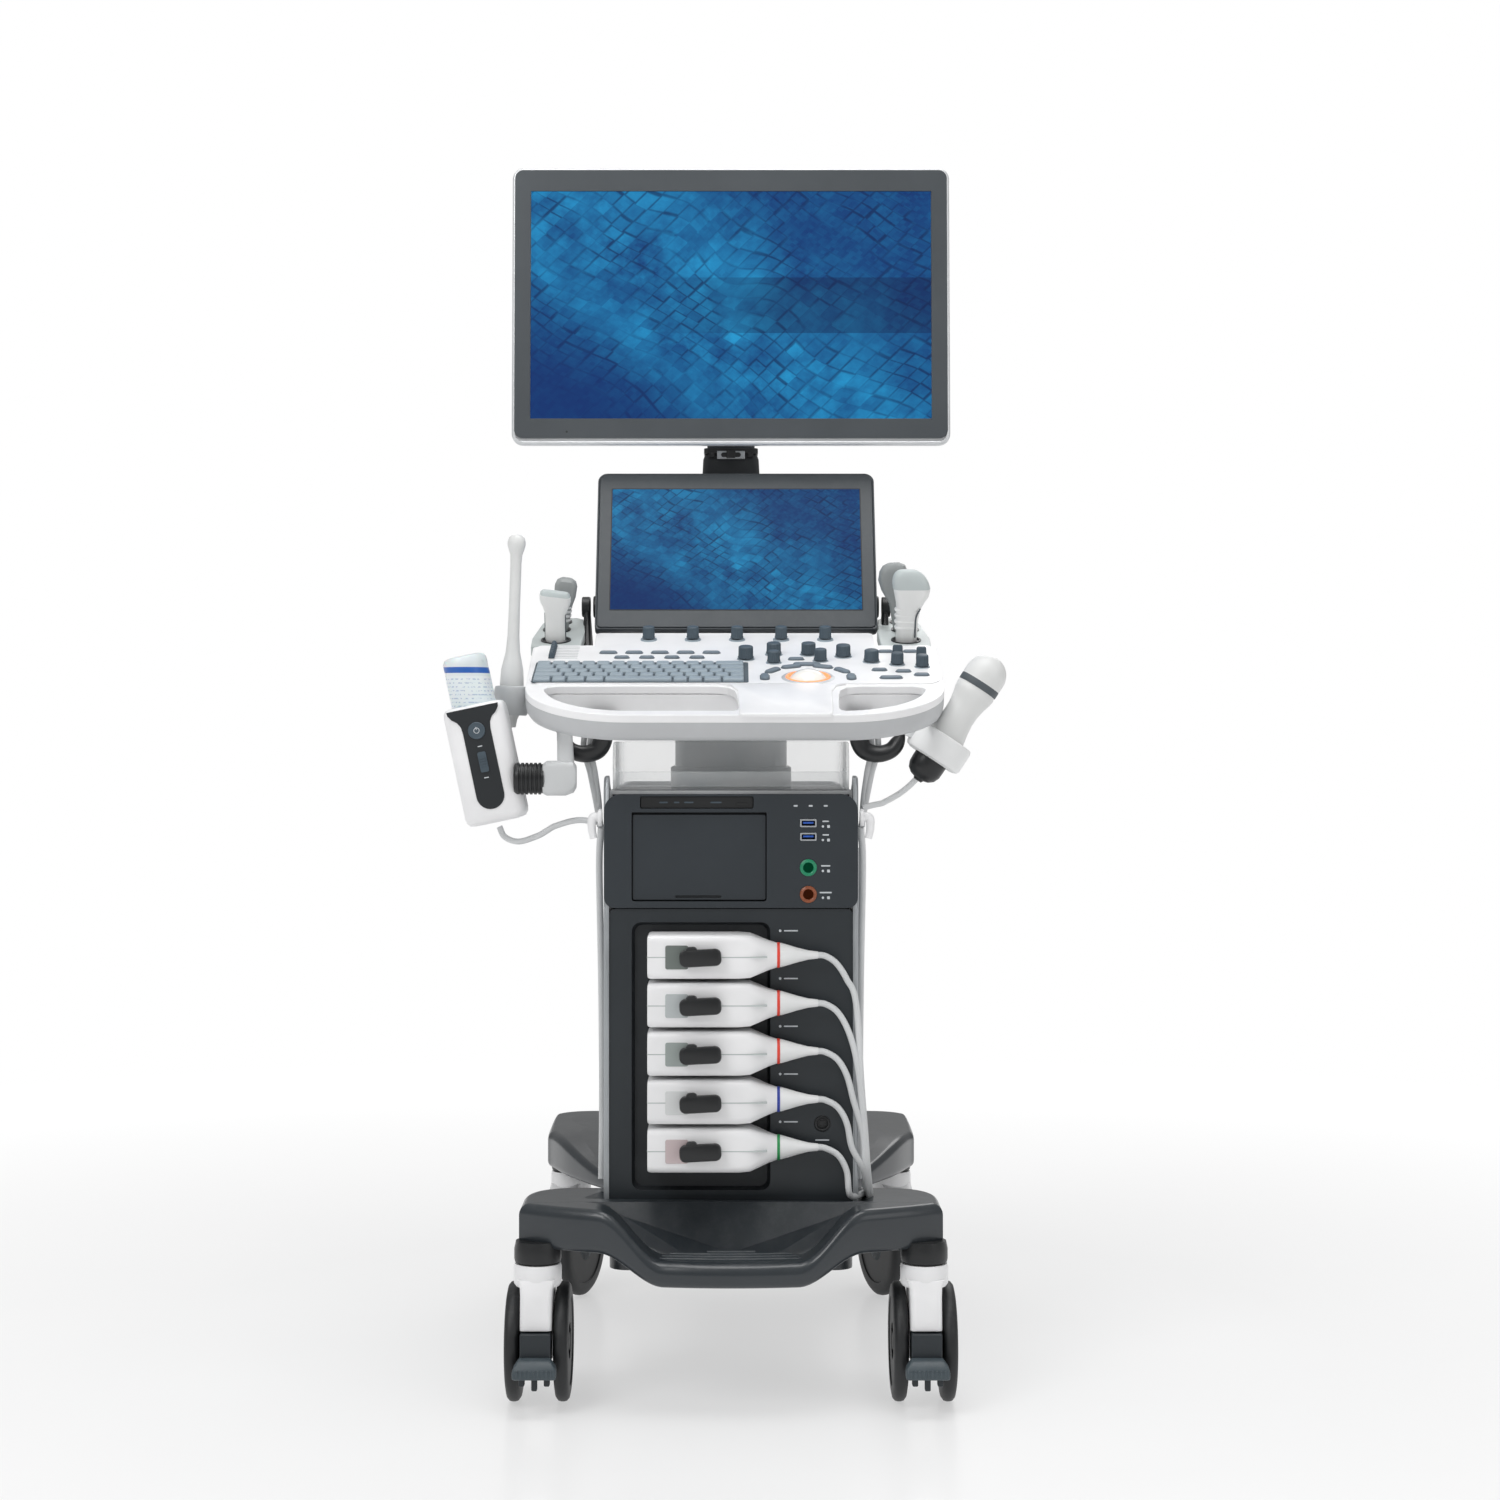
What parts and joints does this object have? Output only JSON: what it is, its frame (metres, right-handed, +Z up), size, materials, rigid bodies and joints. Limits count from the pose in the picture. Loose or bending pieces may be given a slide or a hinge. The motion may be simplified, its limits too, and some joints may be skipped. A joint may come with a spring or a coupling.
{
  "type": "ultrasound machine",
  "caption": "Cart-type diagnostic ultrasound scanner on casters, with a lifting control console, tilting touch screen, monitor on an arm, and probes.",
  "frame": {"origin": "on the floor, midway between the left and right casters and between the front and rear wheel centres at rest", "axes": "+X to the operator's right facing the machine, +Y from the operator to the rear, +Z up"},
  "size_m": [0.6061, 0.7449, 1.3804],
  "materials": {
    "base_plastic": "satin",
    "mat_rubber": "matte",
    "sheet_metal": "satin",
    "white_plastic": "satin",
    "dark_plastic": "satin",
    "black_plastic": "satin",
    "light_grey_plastic": "satin",
    "psu_metal": "satin",
    "circuit_board": "satin",
    "clear_acrylic": "gloss",
    "caster_white": "satin",
    "tyre_rubber": "matte",
    "pedal_plastic": "satin",
    "key_plastic": "satin",
    "knob_plastic": "satin",
    "gel_bottle": "satin",
    "bezel_plastic": "satin",
    "display_glass": "gloss",
    "arm_metal": "satin"
  },
  "bodies": {
    "base": {"base_shell": "base_plastic", "footrest_mat": "mat_rubber", "cabinet_frame": "sheet_metal", "side_panels": "white_plastic", "rear_panel": "dark_plastic", "upper_fascia": "dark_plastic", "lower_fascia": "dark_plastic", "io_ports": "black_plastic", "connector_bodies": "white_plastic", "power_supply": "psu_metal", "engine_boards": "circuit_board", "tray_clear": "clear_acrylic", "column_outer": "sheet_metal", "cables_lower": "light_grey_plastic"},
    "column": {"column_inner": "white_plastic"},
    "console": {"console_shell": "light_grey_plastic", "console_top": "white_plastic", "probe_holders": "light_grey_plastic", "hooks": "black_plastic", "cables_upper": "light_grey_plastic", "warmer_housing": "white_plastic"},
    "touch": {"touch_panel": "bezel_plastic", "touch_glass": "display_glass"},
    "monitor": {"monitor_shell": "light_grey_plastic", "monitor_bezel": "bezel_plastic", "monitor_screen": "display_glass"},
    "caster_fl": {"fork_fl": "caster_white"},
    "wheels_fl": {"wheels_fl": "tyre_rubber"},
    "pedal_fl": {"pedal_fl": "pedal_plastic"},
    "caster_fr": {"fork_fr": "caster_white"},
    "wheels_fr": {"wheels_fr": "tyre_rubber"},
    "pedal_fr": {"pedal_fr": "pedal_plastic"},
    "caster_rl": {"fork_rl": "caster_white"},
    "wheels_rl": {"wheels_rl": "tyre_rubber"},
    "pedal_rl": {"pedal_rl": "pedal_plastic"},
    "caster_rr": {"fork_rr": "caster_white"},
    "wheels_rr": {"wheels_rr": "tyre_rubber"},
    "pedal_rr": {"pedal_rr": "pedal_plastic"},
    "keys": {"keys": "key_plastic"},
    "buttons": {"buttons": "key_plastic"},
    "tgc_sliders": {"tgc_sliders": "knob_plastic"},
    "knobs": {"knobs": "knob_plastic"},
    "trackball": {"trackball": "white_plastic"},
    "knob_gain": {"knob_gain": "knob_plastic"},
    "gel_bottle": {"gel_bottle": "gel_bottle"},
    "probes_left": {"probes_left": "light_grey_plastic"},
    "probes_right": {"probes_right": "white_plastic"},
    "probe_cavity": {"probe_cavity": "white_plastic"},
    "probe_volume": {"probe_volume": "white_plastic"},
    "arm_lower": {"arm_lower": "arm_metal"},
    "arm_upper": {"arm_upper": "arm_metal"},
    "monitor_neck": {"monitor_neck": "arm_metal"},
    "lever_1": {"lever_1": "black_plastic"},
    "lever_2": {"lever_2": "black_plastic"},
    "lever_3": {"lever_3": "black_plastic"},
    "lever_4": {"lever_4": "black_plastic"},
    "lever_5": {"lever_5": "black_plastic"},
    "bay_door": {"bay_door": "dark_plastic"},
    "disc_tray": {"disc_tray": "black_plastic"},
    "fan": {"fan_rotor": "black_plastic"}
  },
  "joints": [
    {"name": "caster_fl_swivel", "type": "hinge", "parent": "base", "child": "caster_fl", "pos_m": [-0.203, -0.3, 0.15], "axis": [0, 0, 1], "continuous": true},
    {"name": "wheels_fl_roll", "type": "hinge", "parent": "caster_fl", "child": "wheels_fl", "pos_m": [-0.203, -0.275, 0.0625], "axis": [1, 0, 0], "continuous": true},
    {"name": "pedal_fl_press", "type": "hinge", "parent": "caster_fl", "child": "pedal_fl", "pos_m": [-0.203, -0.304, 0.06], "axis": [1, 0, 0], "range_deg": [0, 12], "stiffness_Nm_per_rad": 2},
    {"name": "caster_fr_swivel", "type": "hinge", "parent": "base", "child": "caster_fr", "pos_m": [0.203, -0.3, 0.15], "axis": [0, 0, 1], "continuous": true},
    {"name": "wheels_fr_roll", "type": "hinge", "parent": "caster_fr", "child": "wheels_fr", "pos_m": [0.203, -0.275, 0.0625], "axis": [1, 0, 0], "continuous": true},
    {"name": "pedal_fr_press", "type": "hinge", "parent": "caster_fr", "child": "pedal_fr", "pos_m": [0.203, -0.304, 0.06], "axis": [1, 0, 0], "range_deg": [0, 12], "stiffness_Nm_per_rad": 2},
    {"name": "caster_rl_swivel", "type": "hinge", "parent": "base", "child": "caster_rl", "pos_m": [-0.203, 0.275, 0.15], "axis": [0, 0, 1], "continuous": true},
    {"name": "wheels_rl_roll", "type": "hinge", "parent": "caster_rl", "child": "wheels_rl", "pos_m": [-0.21155, 0.25151, 0.0625], "axis": [-0.9397, 0.342, 0], "continuous": true},
    {"name": "pedal_rl_press", "type": "hinge", "parent": "caster_rl", "child": "pedal_rl", "pos_m": [-0.20163, 0.27876, 0.06], "axis": [-0.9397, 0.342, 0], "range_deg": [0, 12], "stiffness_Nm_per_rad": 2},
    {"name": "caster_rr_swivel", "type": "hinge", "parent": "base", "child": "caster_rr", "pos_m": [0.203, 0.275, 0.15], "axis": [0, 0, 1], "continuous": true},
    {"name": "wheels_rr_roll", "type": "hinge", "parent": "caster_rr", "child": "wheels_rr", "pos_m": [0.21155, 0.25151, 0.0625], "axis": [-0.9397, -0.342, 0], "continuous": true},
    {"name": "pedal_rr_press", "type": "hinge", "parent": "caster_rr", "child": "pedal_rr", "pos_m": [0.20163, 0.27876, 0.06], "axis": [-0.9397, -0.342, 0], "range_deg": [0, 12], "stiffness_Nm_per_rad": 2},
    {"name": "column_lift", "type": "slide", "parent": "base", "child": "column", "axis": [0, 0, 1], "range_m": [0, 0.18]},
    {"name": "console_swivel", "type": "hinge", "parent": "column", "child": "console", "pos_m": [0, -0.035, 0.702], "axis": [0, 0, 1], "range_deg": [-30, 30]},
    {"name": "keys_press", "type": "slide", "parent": "console", "child": "keys", "axis": [0, -0.2756, 0.9613], "range_m": [-0.0015, 0], "stiffness_N_per_m": 2000},
    {"name": "buttons_press", "type": "slide", "parent": "console", "child": "buttons", "axis": [0, -0.2756, 0.9613], "range_m": [-0.001, 0], "stiffness_N_per_m": 2000},
    {"name": "tgc_slide", "type": "slide", "parent": "console", "child": "tgc_sliders", "axis": [1, 0, 0], "range_m": [0, 0.026]},
    {"name": "knobs_push", "type": "slide", "parent": "console", "child": "knobs", "axis": [0, -0.2756, 0.9613], "range_m": [-0.001, 0], "stiffness_N_per_m": 2000},
    {"name": "trackball_roll", "type": "hinge", "parent": "console", "child": "trackball", "pos_m": [0.0838, -0.20082, 0.75053], "axis": [1, 0, 0], "continuous": true},
    {"name": "knob_gain_turn", "type": "hinge", "parent": "console", "child": "knob_gain", "pos_m": [0.0165, -0.12891, 0.7878], "axis": [0, -0.2756, 0.9613], "continuous": true},
    {"name": "gel_bottle_lift", "type": "slide", "parent": "console", "child": "gel_bottle", "axis": [-0.2079, 0, 0.9781], "range_m": [0, 0.16]},
    {"name": "probes_left_lift", "type": "slide", "parent": "console", "child": "probes_left", "axis": [0, -0.2756, 0.9613], "range_m": [0, 0.09]},
    {"name": "probes_right_lift", "type": "slide", "parent": "console", "child": "probes_right", "axis": [0, -0.2756, 0.9613], "range_m": [0, 0.09]},
    {"name": "probe_cavity_lift", "type": "slide", "parent": "console", "child": "probe_cavity", "axis": [0.0349, 0, 0.9994], "range_m": [0, 0.1]},
    {"name": "probe_volume_lift", "type": "slide", "parent": "console", "child": "probe_volume", "axis": [0.5446, 0, 0.8387], "range_m": [0, 0.08]},
    {"name": "touch_tilt", "type": "hinge", "parent": "console", "child": "touch", "pos_m": [0.006, 0.04521, 0.85511], "axis": [1, 0, 0], "range_deg": [0, 22]},
    {"name": "arm_swivel", "type": "hinge", "parent": "console", "child": "arm_lower", "pos_m": [0, 0.207, 0.84], "axis": [0, 0, 1], "range_deg": [-45, 45]},
    {"name": "arm_lift", "type": "slide", "parent": "arm_lower", "child": "arm_upper", "axis": [0, 0, 1], "range_m": [0, 0.1]},
    {"name": "monitor_pan", "type": "hinge", "parent": "arm_upper", "child": "monitor_neck", "pos_m": [0, 0.165, 1.2], "axis": [0, 0, 1], "range_deg": [-30, 30]},
    {"name": "monitor_tilt", "type": "hinge", "parent": "monitor_neck", "child": "monitor", "pos_m": [0, 0.12692, 1.21126], "axis": [1, 0, 0], "range_deg": [-15, 8]},
    {"name": "lever_1_turn", "type": "hinge", "parent": "base", "child": "lever_1", "pos_m": [-0.033, -0.301, 0.471], "axis": [0, 1, 0], "range_deg": [0, 90]},
    {"name": "lever_2_turn", "type": "hinge", "parent": "base", "child": "lever_2", "pos_m": [-0.033, -0.301, 0.42], "axis": [0, 1, 0], "range_deg": [0, 90]},
    {"name": "lever_3_turn", "type": "hinge", "parent": "base", "child": "lever_3", "pos_m": [-0.033, -0.301, 0.369], "axis": [0, 1, 0], "range_deg": [0, 90]},
    {"name": "lever_4_turn", "type": "hinge", "parent": "base", "child": "lever_4", "pos_m": [-0.033, -0.301, 0.318], "axis": [0, 1, 0], "range_deg": [0, 90]},
    {"name": "lever_5_turn", "type": "hinge", "parent": "base", "child": "lever_5", "pos_m": [-0.033, -0.301, 0.267], "axis": [0, 1, 0], "range_deg": [0, 90]},
    {"name": "bay_door_open", "type": "hinge", "parent": "base", "child": "bay_door", "pos_m": [-0.034, -0.255, 0.6205], "axis": [1, 0, 0], "range_deg": [-90, 0]},
    {"name": "disc_tray_eject", "type": "slide", "parent": "base", "child": "disc_tray", "axis": [0, -1, 0], "range_m": [0, 0.12]},
    {"name": "fan_spin", "type": "hinge", "parent": "base", "child": "fan", "pos_m": [0, 0.22, 0.43], "axis": [0, 1, 0], "continuous": true}
  ]
}
